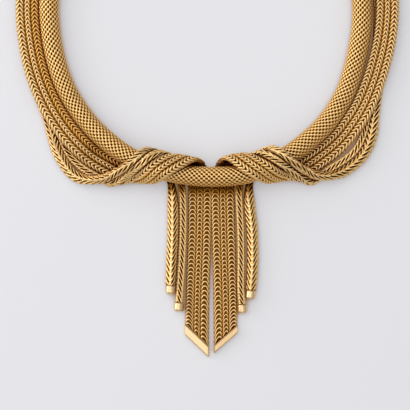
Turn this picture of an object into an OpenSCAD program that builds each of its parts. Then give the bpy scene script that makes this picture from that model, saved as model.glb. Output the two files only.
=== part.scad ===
// Collar necklace of woven gold, lying flat: a hollow mesh rope, a three-ribbed woven band
// and two loose square chains on each side, wrapped once round the rope at the front and
// hanging from it as a fringe, with caps, bars and a plain clasp.
// Frame: X to the wearer's left as the necklace lies face up, Y from the fringe to the clasp,
// Z up from the surface. The origin is the middle of the outline, on the surface.

/* [Rope] */
// Width of the woven tube as it lies
rope_w = 8.4; // [7.6:0.1:8.4]
// Height of the woven tube as it lies
rope_h = 7.6; // [6.8:0.1:7.6]
// Wall of the woven tube
rope_wall = 0.9; // [0.6:0.1:1.5]
// Flats round the woven tube
rope_sides = 12; // [10:2:16]

/* [Bands] */
// Width of a band over its three ribs
band_w = 9.2; // [8.6:0.1:9.2]
// Thickness of a band on the ribs
band_t = 2.0; // [1.6:0.1:2.0]
// Thickness of a band between two ribs
band_valley_t = 1.3; // [0.8:0.1:1.4]

/* [Strands] */
// Side of a square chain
strand_side = 3.0; // [2.6:0.1:3.0]
// How much of half a side its corners are rounded by
strand_round = 0.12; // [0.1:0.01:0.3]

/* [End caps] */
// Diameter of a chain's end cap
cap_d = 4.2; // [3.8:0.1:4.2]
// Length of a chain's end cap
cap_len = 3.5; // [2.5:0.1:4]
// Bevel round the closed end of a cap
cap_bevel = 0.9; // [0.2:0.1:0.9]

/* [End bars] */
// Width of the bar on the left band's cut end, which lies flat
bar_left_w = 3.3; // [2.4:0.1:3.5]
// Width of the bar on the right band's cut end, which lies a little on its edge
bar_right_w = 2.5; // [2.2:0.1:3.3]
// Height of a bar
bar_h = 2.6; // [2.2:0.1:3]
// Bevel along the bar's four long edges
bar_bevel = 0.45; // [0.2:0.05:0.7]

/* [Clasp] */
// Length of the clasp along the necklace
clasp_len = 12; // [10:0.5:12]
// Height of the clasp
clasp_h = 8.2; // [7.8:0.1:9]
// Corner radius of the clasp seen from above
clasp_r = 1.2; // [1:0.1:4]

/* [Fit] */
// Gap between two pieces that meet end to end
gap = 0.12; // [0.05:0.01:0.3]

/* [Hidden] */

GOLD = [0.83, 0.66, 0.34];
POLISHED = [0.90, 0.76, 0.46];
LEFT = -1;
RIGHT = 1;

// The rope's centre line seen from above, from the front to the clasp: x, y
ROPE_FRONT = [0, -36.5];
ROPE_LEFT = [
    [-16.7, -34.2], [-29.7, -29.6], [-40.7, -22.3], [-50.5, -12.6], [-58.7, 0], [-63.2, 12.6],
    [-65.4, 25.2], [-65.9, 38], [-61.8, 58.5], [-50.6, 76.6], [-33.5, 90.2], [-19.5, 96.2],
    [-11, 97.8], [-6.2, 98]];
ROPE_RIGHT = [
    [18, -34.9], [32.2, -28.6], [42.3, -21.3], [50.6, -13.2], [57.8, -1.7], [62, 11],
    [64.8, 27], [64.6, 40], [60.5, 58.5], [49.4, 76.6], [33, 90.2], [19.5, 96.2], [11, 97.8],
    [6.2, 98]];

// Height of the rope's centre, which the chains below it lift at the front: along, up
ROPE_RISE = [
    [0, 7.1], [21, 7.0], [32, 6.3], [44, 5.2], [56, 4.2], [68, 3.8], [210, 3.8]];

// Heights of a chain's or band's middle where it lies flat
FLAT = strand_side / 2 + 0.06;
CORNER = 0.69 * strand_side;
RIDE = FLAT + strand_side / 2 + 0.15 + band_t / 2;
DOWN = -90;

// Routes from the clasp to the fringe. A row beside the rope holds the distance along the
// rope from its front, the distance outwards from its centre line, the height, the way that
// the outer face looks (-90 down, 0 outwards, 90 up, 180 inwards) and how much the band curls
// across its width, in 1/mm.
// along, out, up, facing, curl
BAND_LEFT_NEAR = [
    [204.4, 9.6, RIDE, DOWN, 0],
    [186, 9.6, RIDE, DOWN, 0],
    [166, 9.2, RIDE, DOWN, 0],
    [146, 9.05, RIDE, DOWN, 0],
    [128, 9.05, RIDE, DOWN, 0],
    [111, 9.05, RIDE, DOWN, 0],
    [96, 9.05, RIDE, DOWN, 0],
    [82, 9, RIDE, DOWN, 0],
    [70, 9, RIDE, DOWN, 0],
    [62, 9.1, RIDE, DOWN, 0],
    [56, 9.1, RIDE, DOWN, 0],
    [50.5, 9, 3.65, DOWN, 0],
    [45.5, 8.7, 2.0, DOWN, 0],
    [41, 8.1, 1.3, DOWN, 0],
    [37, 7.6, 1.2, DOWN, 0],
    [33.5, 7.3, 1.25, -88, 0],
    [30.5, 7.4, 1.7, -75, 0.05],
    [28, 7.9, 2.7, -40, 0.2],
    [25.9, 7.5, 4.7, 0, 0.25],
    [24.2, 6.2, 7.6, 20, 0.12],
    [22.4, 3.9, 10.95, 50, 0.12],
    [20.3, 0.5, 12.35, 85, 0.12],
    [17.3, -2.9, 12.05, 110, 0.12],
    [14, -5.6, 10.3, 138, 0.12],
    [10.8, -7.3, 7.6, 165, 0.12],
    [8.2, -7, 4.8, 200, 0.12],
    [6.2, -4.8, 2.3, 238, 0.06],
    [4.7, -1.8, 1.25, 262, 0.02]];
BAND_RIGHT_NEAR = [
    [203.8, 9.6, RIDE, DOWN, 0],
    [186, 9.9, RIDE, DOWN, 0],
    [166, 10.3, RIDE, DOWN, 0],
    [146, 10.6, RIDE, DOWN, 0],
    [128, 10.6, RIDE, DOWN, 0],
    [111, 10.6, RIDE, DOWN, 0],
    [97, 10.2, RIDE, DOWN, 0],
    [85, 9.7, RIDE, DOWN, 0],
    [76, 9.2, RIDE, DOWN, 0],
    [69, 9.1, RIDE, DOWN, 0],
    [63, 8.9, 4.1, DOWN, 0],
    [57, 8.9, 3.1, DOWN, 0],
    [51.5, 8.7, 2.0, DOWN, 0],
    [46, 8.3, 1.3, DOWN, 0],
    [41, 8, 1.2, DOWN, 0],
    [37, 7.7, 1.25, -88, 0],
    [33.8, 7.7, 1.7, -75, 0.05],
    [31, 8.1, 2.7, -42, 0.18],
    [28.7, 7.6, 4.7, 0, 0.22],
    [26.9, 6.2, 7.6, 20, 0.12],
    [25, 3.9, 10.8, 50, 0.12],
    [22.8, 0.5, 12.35, 85, 0.12],
    [20, -3, 12.15, 110, 0.12],
    [16.9, -6.2, 10.4, 138, 0.12],
    [13.8, -8.3, 7.6, 165, 0.12],
    [11.3, -7.9, 4.7, 200, 0.12],
    [9.4, -5.2, 2.2, 238, 0.06],
    [8, -2, 1.25, 262, 0.02]];
// along, out, up, facing
LEFT_OUTER_NEAR = [
    [205, 11.2, FLAT, DOWN],
    [180, 11.2, FLAT, DOWN],
    [155, 11.2, FLAT, DOWN],
    [130, 11.2, FLAT, DOWN],
    [110, 11.2, FLAT, DOWN],
    [94, 11.2, FLAT, DOWN],
    [82, 11.4, FLAT, DOWN],
    [73, 12.2, FLAT, DOWN],
    [66.5, 13.5, FLAT, -88],
    [61, 15.6, 1.95, -72],
    [56, 17.6, 2.1, -50],
    [51.5, 19.1, CORNER, -45],
    [47.3, 19.9, CORNER, -45],
    [43.8, 19.1, 2.8, -45],
    [40.8, 17, 4.75, -45],
    [38.3, 14.4, 5.5, -45],
    [36.3, 11.4, 6.9, -40],
    [34.7, 8.2, 8.7, -5],
    [33.2, 4.9, 10.7, 45],
    [31.8, 1.4, 12.1, 85],
    [30.4, -2.2, 12, 115],
    [28.6, -4.9, 10.2, 145],
    [26.6, -6.1, 7.5, 175],
    [23.4, -6, 4.7, 210],
    [20.7, -3.9, 2.2, 250],
    [18, -0.6, 1.6, 268]];
LEFT_INNER_NEAR = [
    [205, 7.4, FLAT, DOWN],
    [180, 6.3, FLAT, DOWN],
    [155, 6.3, FLAT, DOWN],
    [130, 6.2, FLAT, DOWN],
    [110, 6.15, FLAT, DOWN],
    [94, 6.1, FLAT, DOWN],
    [82, 6.6, FLAT, DOWN],
    [73, 8, FLAT, DOWN],
    [66.5, 9.9, FLAT, DOWN],
    [61, 11.8, FLAT, DOWN],
    [56, 13.8, FLAT, DOWN],
    [51.5, 15.2, FLAT, DOWN],
    [47, 15.4, FLAT, DOWN],
    [43, 15, FLAT, DOWN],
    [39.5, 14.3, FLAT, DOWN],
    [36.6, 14, 1.95, -80],
    [34.4, 12.9, 3.5, -45],
    [32.6, 10.3, 5.1, -20],
    [31.1, 7.1, 7.4, 10],
    [29.6, 3.9, 10.6, 45],
    [27.8, 0.5, 12.1, 85],
    [25.8, -3.2, 11.5, 115],
    [22.3, -6, 8.8, 150],
    [19.1, -6.5, 6, 185],
    [15.9, -5.2, 3.2, 225],
    [13.3, -2.2, 1.75, 255]];
RIGHT_OUTER_NEAR = [
    [204.5, 11.6, FLAT, DOWN],
    [180, 11.2, FLAT, DOWN],
    [155, 10.8, FLAT, DOWN],
    [130, 10.4, FLAT, DOWN],
    [111, 10.2, FLAT, DOWN],
    [97, 10.6, FLAT, DOWN],
    [87, 11.4, FLAT, DOWN],
    [79, 12.6, FLAT, DOWN],
    [73, 14.2, FLAT, -88],
    [68, 16.2, 1.95, -72],
    [64, 18.2, 2.1, -50],
    [60, 19.9, CORNER, -45],
    [56, 20.7, CORNER, -45],
    [52, 20.3, CORNER, -45],
    [48, 19.4, 2.6, -45],
    [44.6, 17.8, 4.6, -45],
    [41.8, 15.4, 5.4, -45],
    [39.6, 12.4, 6.6, -40],
    [38, 9.1, 8.3, -5],
    [36.6, 5.7, 10.3, 45],
    [35.3, 2.2, 11.8, 80],
    [33.9, -1.4, 12.2, 110],
    [32, -4.4, 10.7, 140],
    [30.1, -6, 8.1, 175],
    [27.1, -6.2, 5.05, 208],
    [23.8, -4.2, 2.45, 245],
    [21.1, -1.2, 1.62, 266]];
RIGHT_INNER_NEAR = [
    [204.5, 7.8, FLAT, DOWN],
    [180, 7.4, FLAT, DOWN],
    [155, 7, FLAT, DOWN],
    [130, 6.6, FLAT, DOWN],
    [111, 6.4, FLAT, DOWN],
    [97, 6.8, FLAT, DOWN],
    [87, 7.7, FLAT, DOWN],
    [79, 8.9, FLAT, DOWN],
    [73, 10.4, FLAT, DOWN],
    [68, 12.5, FLAT, DOWN],
    [64, 14.4, FLAT, DOWN],
    [60, 15.9, FLAT, DOWN],
    [56, 16.7, FLAT, DOWN],
    [52, 16.3, FLAT, DOWN],
    [48, 15.5, FLAT, DOWN],
    [44.4, 15, FLAT, DOWN],
    [41.2, 15, FLAT, DOWN],
    [38.6, 14.9, 2, -75],
    [36.9, 13.7, 3.5, -40],
    [35.6, 11, 5.4, -20],
    [34.4, 7.6, 7.7, 10],
    [32.9, 4.2, 10.4, 45],
    [31, 0.7, 12, 85],
    [28.5, -3.1, 11.4, 115],
    [25.6, -5.9, 8.8, 150],
    [22.3, -6.5, 6, 185],
    [19, -5.2, 3.2, 225],
    [16.4, -2.2, 1.75, 255]];

// The fringe below the rope: x, y, up, the turn about the chain's own run, at which 0 lies
// flat and 45 on a corner, and for a band how far it runs on for each millimetre towards +X,
// which cuts its end on the slant.
// x, y, up, roll, slant
BAND_LEFT_HANG = [
    [-3.3, -38.2, 1.15, 0, 0],
    [-2.9, -42.5, 1.1, 0, 0],
    [-2.9, -50, 1.1, 0, 0],
    [-3.2, -66, 1.1, 0, 0],
    [-3.7, -80, 1.1, 0, 0.1],
    [-4, -92, 1.1, 0, 0.6],
    [-4.1, -102.8, 1.1, 0, 0.95]];
BAND_RIGHT_HANG = [
    [7, -38.4, 1.15, 0, 0],
    [6.7, -42.5, 1.1, 0, 0],
    [6.8, -50, 1.1, 0, 0],
    [7.2, -66, 1.1, 0, 0],
    [7.6, -80, 1.1, 0, -0.1],
    [7.8, -92, 1.1, 0, -0.5],
    [7.9, -102.8, 1.1, 0, -0.86]];
// x, y, up, roll
LEFT_OUTER_HANG = [
    [-15.2, -38.6, 1.6, 0],
    [-14.4, -43, 1.9, 15],
    [-14.1, -49, CORNER, 45],
    [-14.1, -60, CORNER, 45],
    [-14.6, -71, CORNER, 40],
    [-15.1, -82.1, 2.15, 30]];
LEFT_INNER_HANG = [
    [-11, -38.2, 1.6, 0],
    [-10.3, -42.5, 1.6, 0],
    [-9.9, -49, 1.6, 0],
    [-9.9, -58, 1.6, 0],
    [-10.3, -70, 1.6, 0],
    [-11, -81, 1.8, 0],
    [-11.6, -89.3, 2.15, 0]];
RIGHT_OUTER_HANG = [
    [18.2, -38.2, 1.6, 0],
    [17.6, -43, 1.9, -15],
    [18, -49, CORNER, -45],
    [19, -58, CORNER, -45],
    [19.3, -66, CORNER, -45],
    [19.2, -75, CORNER, -45],
    [18.5, -84.2, 2.15, -35]];
RIGHT_INNER_HANG = [
    [14.3, -38.2, 1.6, 0],
    [13.5, -42.5, 1.6, 0],
    [13.7, -49, 1.6, 0],
    [14.2, -58, 1.6, 0],
    [14.4, -70, 1.6, 0],
    [14.3, -83, 1.8, 0],
    [14.8, -90.1, 2.15, 0]];

// The bars: x of both ends at the foot and on top, a point of the edge that meets the band,
// and the angle of that edge
BAR_LEFT_FOOT = [-9.3, 1.1];
BAR_LEFT_TOP = [-9.1, 0.4];
BAR_LEFT_EDGE = [-4.1, -102.8];
BAR_LEFT_ANGLE = -43.5;
BAR_RIGHT_FOOT = [2.9, 13];
BAR_RIGHT_TOP = [3.4, 12.8];
BAR_RIGHT_EDGE = [7.9, -102.8];
BAR_RIGHT_ANGLE = 41;

// The clasp reaches from the rope's inner side to the bands' outer side
CLASP_FRONT_Y = 93;
CLASP_BACK_Y = 112.4;

ROPE_STEPS = 12;
ROPE_RINGS = 64;
ROUTE_STEPS = 2;

function unit(v) = v / norm(v);

function place(v) = [v[0], v[1], v[2]];

// One span of a centripetal Catmull-Rom curve through rows a, b, c and d, from b to c. The
// first count numbers of a row are its place, and the rest turn with it.
function span(a, b, c, d, t, count) =
    let (
        da = sqrt(norm([for (k = [0 : count - 1]) b[k] - a[k]])),
        db = sqrt(norm([for (k = [0 : count - 1]) c[k] - b[k]])),
        dc = sqrt(norm([for (k = [0 : count - 1]) d[k] - c[k]])),
        leave = db * ((b - a) / da - (c - a) / (da + db) + (c - b) / db),
        reach = db * ((c - b) / db - (d - b) / (db + dc) + (d - c) / dc))
    (2 * t * t * t - 3 * t * t + 1) * b + (t * t * t - 2 * t * t + t) * leave
        + (3 * t * t - 2 * t * t * t) * c + (t * t * t - t * t) * reach;

// A smooth run through all rows, with the given number of steps between two rows
function curve(rows, steps, count) =
    let (
        last = len(rows) - 1,
        all = concat([2 * rows[0] - rows[1]], rows, [2 * rows[last] - rows[last - 1]]))
    [for (i = [0 : last - 1], k = [0 : steps - 1])
        span(all[i], all[i + 1], all[i + 2], all[i + 3], k / steps, count),
     rows[last]];

// Distance from the first point of a line to each of its points
function running_length(line) =
    [for (i = 0, s = 0; i < len(line);
        s = s + (i + 1 < len(line) ? norm(line[i + 1] - line[i]) : 0), i = i + 1) s];

// The rope's line with the distance along it from the front, negative on the left
ROPE_ROWS = concat(
    [for (i = [len(ROPE_LEFT) - 1 : -1 : 0]) ROPE_LEFT[i]], [ROPE_FRONT], ROPE_RIGHT);
ROPE_LINE = curve(ROPE_ROWS, ROPE_STEPS, 2);
ROPE_LENGTH = running_length(ROPE_LINE);
LEFT_LENGTH = ROPE_LENGTH[len(ROPE_LEFT) * ROPE_STEPS];
RIGHT_LENGTH = ROPE_LENGTH[len(ROPE_LENGTH) - 1] - LEFT_LENGTH;
ROPE_X = [for (i = [0 : len(ROPE_LINE) - 1]) [ROPE_LENGTH[i] - LEFT_LENGTH, ROPE_LINE[i][0]]];
ROPE_Y = [for (i = [0 : len(ROPE_LINE) - 1]) [ROPE_LENGTH[i] - LEFT_LENGTH, ROPE_LINE[i][1]]];

function rope_at(along) = [lookup(along, ROPE_X), lookup(along, ROPE_Y)];

function rope_up(along) = lookup(abs(along), ROPE_RISE);

// Level direction that points out of the neck opening, square to the rope
function outwards(along) =
    let (run = unit(rope_at(along + 1) - rope_at(along - 1)))
    [run[1], -run[0]];

// A knot holds a place, the outer face's direction, the curl and the slant
function knot_near(side, row) =
    let (
        away = outwards(side * row[0]),
        spot = rope_at(side * row[0]) + row[1] * away)
    [spot[0], spot[1], row[2], away[0] * cos(row[3]), away[1] * cos(row[3]), sin(row[3]),
        len(row) > 4 ? row[4] : 0, 0];

function knot_hang(row) =
    [row[0], row[1], row[2], sin(row[3]), 0, -cos(row[3]), 0, len(row) > 4 ? row[4] : 0];

function route(side, near, hang) =
    curve(concat([for (row = near) knot_near(side, row)], [for (row = hang) knot_hang(row)]),
        ROUTE_STEPS, 3);

// Across a curled band a flat distance becomes an arc
function across(a, h, curl) = abs(curl) < 0.001 ? a : (1 / curl + h) * sin(a * curl * 180 / PI);

function outward(a, h, curl) =
    abs(curl) < 0.001 ? h : (1 / curl + h) * cos(a * curl * 180 / PI) - 1 / curl;

// The section's points round one knot of a route
function ring(line, i, section) =
    let (
        before = place(line[max(i - 1, 0)]),
        after = place(line[min(i + 1, len(line) - 1)]),
        run = unit(after - before),
        face = [line[i][3], line[i][4], line[i][5]],
        up = unit(face - (face * run) * run),
        wide = cross(run, up))
    [for (q = section) place(line[i]) + across(q[0], q[1], line[i][6]) * wide
        + outward(q[0], q[1], line[i][6]) * up + line[i][7] * q[0] * run];

// Triangles between two closed rings of m points, which start at a and b
function wall(a, b, m) =
    [for (k = [0 : m - 1]) let (n = (k + 1) % m)
        each [[a + k, b + n, a + n], [a + k, b + k, b + n]]];

function flip(faces) = [for (f = faces) [for (k = [len(f) - 1 : -1 : 0]) f[k]]];

// A solid carried along a route, closed at both ends
module carried(line, section) {
    m = len(section);
    last = len(line) - 1;
    polyhedron(
        points = [for (i = [0 : last]) each ring(line, i, section)],
        faces = concat(
            [[for (k = [0 : m - 1]) k]],
            [for (i = [0 : last - 1]) each wall(i * m, (i + 1) * m, m)],
            [[for (k = [m - 1 : -1 : 0]) last * m + k]]),
        convexity = 10);
}

// Outline of a band with three ribs, and of a square chain with blunt corners
function band_section() =
    let (
        rib = band_w / 3,
        flank = 0.28 * rib,
        lip = 0.22 * band_t,
        top = [for (k = [-1 : 1]) each [
            [k * rib - flank, band_t / 2],
            [k * rib + flank, band_t / 2],
            if (k < 1) [k * rib + rib / 2, band_valley_t / 2]]])
    concat(top, [[band_w / 2, lip], [band_w / 2, -lip]],
        [for (k = [len(top) - 1 : -1 : 0]) [top[k][0], -top[k][1]]],
        [[-band_w / 2, -lip], [-band_w / 2, lip]]);

function strand_section() =
    let (h = strand_side / 2, c = h * (1 - strand_round))
    [[c, -h], [-c, -h], [-h, -c], [-h, c], [-c, h], [c, h], [h, c], [h, -c]];

module mesh_rope() {
    m = rope_sides;
    stations = [for (i = [0 : ROPE_RINGS - 1])
        (LEFT_LENGTH + RIGHT_LENGTH) * i / (ROPE_RINGS - 1) - LEFT_LENGTH];
    function tube_ring(along, thin) =
        let (away = outwards(along), mid = rope_at(along), level = rope_up(along))
        [for (k = [0 : m - 1]) let (a = -360 * (k + 0.5) / m, o = (rope_w / 2 - thin) * cos(a))
            [mid[0] + o * away[0], mid[1] + o * away[1], level + (rope_h / 2 - thin) * sin(a)]];
    inside = ROPE_RINGS * m;
    last = (ROPE_RINGS - 1) * m;
    color(GOLD)
    polyhedron(
        points = concat(
            [for (s = stations) each tube_ring(s, 0)],
            [for (s = stations) each tube_ring(s, rope_wall)]),
        faces = concat(
            [for (i = [0 : ROPE_RINGS - 2]) each wall(i * m, (i + 1) * m, m)],
            flip([for (i = [0 : ROPE_RINGS - 2])
                each wall(inside + i * m, inside + (i + 1) * m, m)]),
            wall(inside, 0, m),
            wall(last, inside + last, m)),
        convexity = 10);
}

module band_left() {
    color(GOLD) carried(route(LEFT, BAND_LEFT_NEAR, BAND_LEFT_HANG), band_section());
}

module band_right() {
    color(GOLD) carried(route(RIGHT, BAND_RIGHT_NEAR, BAND_RIGHT_HANG), band_section());
}

module strand_left_outer() {
    color(GOLD) carried(route(LEFT, LEFT_OUTER_NEAR, LEFT_OUTER_HANG), strand_section());
}

module strand_left_inner() {
    color(GOLD) carried(route(LEFT, LEFT_INNER_NEAR, LEFT_INNER_HANG), strand_section());
}

module strand_right_inner() {
    color(GOLD) carried(route(RIGHT, RIGHT_INNER_NEAR, RIGHT_INNER_HANG), strand_section());
}

module strand_right_outer() {
    color(GOLD) carried(route(RIGHT, RIGHT_OUTER_NEAR, RIGHT_OUTER_HANG), strand_section());
}

// A round cap that goes on from the end of a hanging chain
module end_cap(hang) {
    last = hang[len(hang) - 1];
    before = hang[len(hang) - 2];
    run = unit(place(last) - place(before));
    color(POLISHED)
    translate([last[0], last[1], cap_d / 2 + 0.05])
    rotate([90, 0, atan2(run[0], -run[1])])
    translate([0, 0, gap])
    rotate_extrude($fn = 48)
    polygon([
        [0, 0],
        [cap_d / 2 - 0.1, 0],
        [cap_d / 2, 0.3],
        [cap_d / 2, cap_len - cap_bevel],
        [cap_d / 2 - 0.3 * cap_bevel, cap_len - 0.3 * cap_bevel],
        [cap_d / 2 - cap_bevel, cap_len],
        [0, cap_len]]);
}

module cap_left_outer() {
    end_cap(LEFT_OUTER_HANG);
}

module cap_left_inner() {
    end_cap(LEFT_INNER_HANG);
}

module cap_right_inner() {
    end_cap(RIGHT_INNER_HANG);
}

module cap_right_outer() {
    end_cap(RIGHT_OUTER_HANG);
}

// A bevelled bar of width w below a slanted line, cut off level with the sides of the band
module end_bar(w, foot, top, edge, angle) {
    long = 40;
    b = bar_bevel;
    color(POLISHED)
    intersection() {
        translate([edge[0], edge[1], 0])
        rotate([0, 0, angle])
        translate([-long / 2, -gap, 0])
        rotate([90, 0, 90])
        linear_extrude(height = long)
        polygon([
            [-b, 0],
            [0, b],
            [0, bar_h - b],
            [-b, bar_h],
            [b - w, bar_h],
            [-w, bar_h - b],
            [-w, b],
            [b - w, 0]]);
        translate([0, edge[1] + long / 2, 0])
        rotate([90, 0, 0])
        linear_extrude(height = long)
        polygon([[foot[0], 0], [foot[1], 0], [top[1], bar_h], [top[0], bar_h]]);
    }
}

module bar_left() {
    end_bar(bar_left_w, BAR_LEFT_FOOT, BAR_LEFT_TOP, BAR_LEFT_EDGE, BAR_LEFT_ANGLE);
}

module bar_right() {
    end_bar(bar_right_w, BAR_RIGHT_FOOT, BAR_RIGHT_TOP, BAR_RIGHT_EDGE, BAR_RIGHT_ANGLE);
}

// A plain closed box with round corners, on which both halves end
module clasp() {
    deep = CLASP_BACK_Y - CLASP_FRONT_Y;
    color(POLISHED)
    translate([-clasp_len / 2, CLASP_FRONT_Y, 0])
    linear_extrude(height = clasp_h)
    union() {
        translate([clasp_r, 0])
        square([clasp_len - 2 * clasp_r, deep]);
        translate([0, clasp_r])
        square([clasp_len, deep - 2 * clasp_r]);
        for (x = [clasp_r, clasp_len - clasp_r], y = [clasp_r, deep - clasp_r])
            translate([x, y])
            circle(r = clasp_r, $fn = 48);
    }
}

mesh_rope();
band_left();
band_right();
strand_left_outer();
strand_left_inner();
strand_right_inner();
strand_right_outer();
cap_left_outer();
cap_left_inner();
cap_right_inner();
cap_right_outer();
bar_left();
bar_right();
clasp();
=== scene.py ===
# %% [markdown]
# A collar necklace of woven gold, lying on a pale surface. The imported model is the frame: it
# says where every piece lies. Its chains are plain solids, so this lesson weaves them along
# the same routes: the bands from hundreds of small bent wires over a dark core, and the loose
# chains and the rope as closed skins with their links raised on them.

# %% Load the frame
import math

import bpy
import numpy as np
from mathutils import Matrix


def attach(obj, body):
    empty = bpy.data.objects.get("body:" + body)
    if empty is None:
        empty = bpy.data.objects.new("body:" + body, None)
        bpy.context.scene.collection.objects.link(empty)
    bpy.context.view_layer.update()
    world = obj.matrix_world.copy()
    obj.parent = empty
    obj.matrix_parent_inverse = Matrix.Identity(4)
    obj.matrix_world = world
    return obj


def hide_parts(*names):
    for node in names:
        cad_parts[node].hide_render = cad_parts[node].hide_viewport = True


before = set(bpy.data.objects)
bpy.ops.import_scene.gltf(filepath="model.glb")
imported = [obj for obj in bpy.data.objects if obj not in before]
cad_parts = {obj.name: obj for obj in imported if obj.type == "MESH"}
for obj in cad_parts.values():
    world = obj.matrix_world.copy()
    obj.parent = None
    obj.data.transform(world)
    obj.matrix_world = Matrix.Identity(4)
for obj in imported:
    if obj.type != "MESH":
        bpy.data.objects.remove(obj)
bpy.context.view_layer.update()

MM = 0.001

# %% [markdown]
# The routes of the rope, the bands and the loose chains are short lists of points, given in
# millimetres and degrees. They say the same as the routes that the solids follow, so the
# woven pieces lie exactly where the plain ones do.

# %% Size of each chain's section
ROPE_WIDE = 8.4
ROPE_HIGH = 7.6
BAND_WIDE = 9.2
BAND_THICK = 2.0
STRAND_SIDE = 3.0

# %% The rope's line from the front to the clasp, seen from above: x, y
ROPE_FRONT = [0, -36.5]
ROPE_LEFT = [
    [-16.7, -34.2], [-29.7, -29.6], [-40.7, -22.3], [-50.5, -12.6], [-58.7, 0], [-63.2, 12.6],
    [-65.4, 25.2], [-65.9, 38], [-61.8, 58.5], [-50.6, 76.6], [-33.5, 90.2], [-19.5, 96.2],
    [-11, 97.8], [-6.2, 98]]
ROPE_RIGHT = [
    [18, -34.9], [32.2, -28.6], [42.3, -21.3], [50.6, -13.2], [57.8, -1.7], [62, 11],
    [64.8, 27], [64.6, 40], [60.5, 58.5], [49.4, 76.6], [33, 90.2], [19.5, 96.2],
    [11, 97.8], [6.2, 98]]

# Height of the rope's centre: distance along the rope from its front, height
ROPE_RISE = [
    [0, 7.1], [21, 7.0], [32, 6.3], [44, 5.2], [56, 4.2], [68, 3.8], [210, 3.8]]

# %% Heights of a chain's middle where it lies flat
OVER_SURFACE = 0.06
OVER_CHAIN = 0.15
ON_CORNER = 0.69
FLAT = STRAND_SIDE / 2 + OVER_SURFACE
CORNER = ON_CORNER * STRAND_SIDE
RIDE = FLAT + STRAND_SIDE / 2 + OVER_CHAIN + BAND_THICK / 2
DOWN = -90

# %% Routes beside the rope: along, out, up, the way the outer face looks, curl
BAND_LEFT_NEAR = [
    [204.4, 9.6, RIDE, DOWN, 0],
    [186, 9.6, RIDE, DOWN, 0],
    [166, 9.2, RIDE, DOWN, 0],
    [146, 9.05, RIDE, DOWN, 0],
    [128, 9.05, RIDE, DOWN, 0],
    [111, 9.05, RIDE, DOWN, 0],
    [96, 9.05, RIDE, DOWN, 0],
    [82, 9, RIDE, DOWN, 0],
    [70, 9, RIDE, DOWN, 0],
    [62, 9.1, RIDE, DOWN, 0],
    [56, 9.1, RIDE, DOWN, 0],
    [50.5, 9, 3.65, DOWN, 0],
    [45.5, 8.7, 2.0, DOWN, 0],
    [41, 8.1, 1.3, DOWN, 0],
    [37, 7.6, 1.2, DOWN, 0],
    [33.5, 7.3, 1.25, -88, 0],
    [30.5, 7.4, 1.7, -75, 0.05],
    [28, 7.9, 2.7, -40, 0.2],
    [25.9, 7.5, 4.7, 0, 0.25],
    [24.2, 6.2, 7.6, 20, 0.12],
    [22.4, 3.9, 10.95, 50, 0.12],
    [20.3, 0.5, 12.35, 85, 0.12],
    [17.3, -2.9, 12.05, 110, 0.12],
    [14, -5.6, 10.3, 138, 0.12],
    [10.8, -7.3, 7.6, 165, 0.12],
    [8.2, -7, 4.8, 200, 0.12],
    [6.2, -4.8, 2.3, 238, 0.06],
    [4.7, -1.8, 1.25, 262, 0.02]]
BAND_RIGHT_NEAR = [
    [203.8, 9.6, RIDE, DOWN, 0],
    [186, 9.9, RIDE, DOWN, 0],
    [166, 10.3, RIDE, DOWN, 0],
    [146, 10.6, RIDE, DOWN, 0],
    [128, 10.6, RIDE, DOWN, 0],
    [111, 10.6, RIDE, DOWN, 0],
    [97, 10.2, RIDE, DOWN, 0],
    [85, 9.7, RIDE, DOWN, 0],
    [76, 9.2, RIDE, DOWN, 0],
    [69, 9.1, RIDE, DOWN, 0],
    [63, 8.9, 4.1, DOWN, 0],
    [57, 8.9, 3.1, DOWN, 0],
    [51.5, 8.7, 2.0, DOWN, 0],
    [46, 8.3, 1.3, DOWN, 0],
    [41, 8, 1.2, DOWN, 0],
    [37, 7.7, 1.25, -88, 0],
    [33.8, 7.7, 1.7, -75, 0.05],
    [31, 8.1, 2.7, -42, 0.18],
    [28.7, 7.6, 4.7, 0, 0.22],
    [26.9, 6.2, 7.6, 20, 0.12],
    [25, 3.9, 10.8, 50, 0.12],
    [22.8, 0.5, 12.35, 85, 0.12],
    [20, -3, 12.15, 110, 0.12],
    [16.9, -6.2, 10.4, 138, 0.12],
    [13.8, -8.3, 7.6, 165, 0.12],
    [11.3, -7.9, 4.7, 200, 0.12],
    [9.4, -5.2, 2.2, 238, 0.06],
    [8, -2, 1.25, 262, 0.02]]

# %% The loose chains beside the rope: along, out, up, facing
LEFT_OUTER_NEAR = [
    [205, 11.2, FLAT, DOWN],
    [180, 11.2, FLAT, DOWN],
    [155, 11.2, FLAT, DOWN],
    [130, 11.2, FLAT, DOWN],
    [110, 11.2, FLAT, DOWN],
    [94, 11.2, FLAT, DOWN],
    [82, 11.4, FLAT, DOWN],
    [73, 12.2, FLAT, DOWN],
    [66.5, 13.5, FLAT, -88],
    [61, 15.6, 1.95, -72],
    [56, 17.6, 2.1, -50],
    [51.5, 19.1, CORNER, -45],
    [47.3, 19.9, CORNER, -45],
    [43.8, 19.1, 2.8, -45],
    [40.8, 17, 4.75, -45],
    [38.3, 14.4, 5.5, -45],
    [36.3, 11.4, 6.9, -40],
    [34.7, 8.2, 8.7, -5],
    [33.2, 4.9, 10.7, 45],
    [31.8, 1.4, 12.1, 85],
    [30.4, -2.2, 12, 115],
    [28.6, -4.9, 10.2, 145],
    [26.6, -6.1, 7.5, 175],
    [23.4, -6, 4.7, 210],
    [20.7, -3.9, 2.2, 250],
    [18, -0.6, 1.6, 268]]
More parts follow.
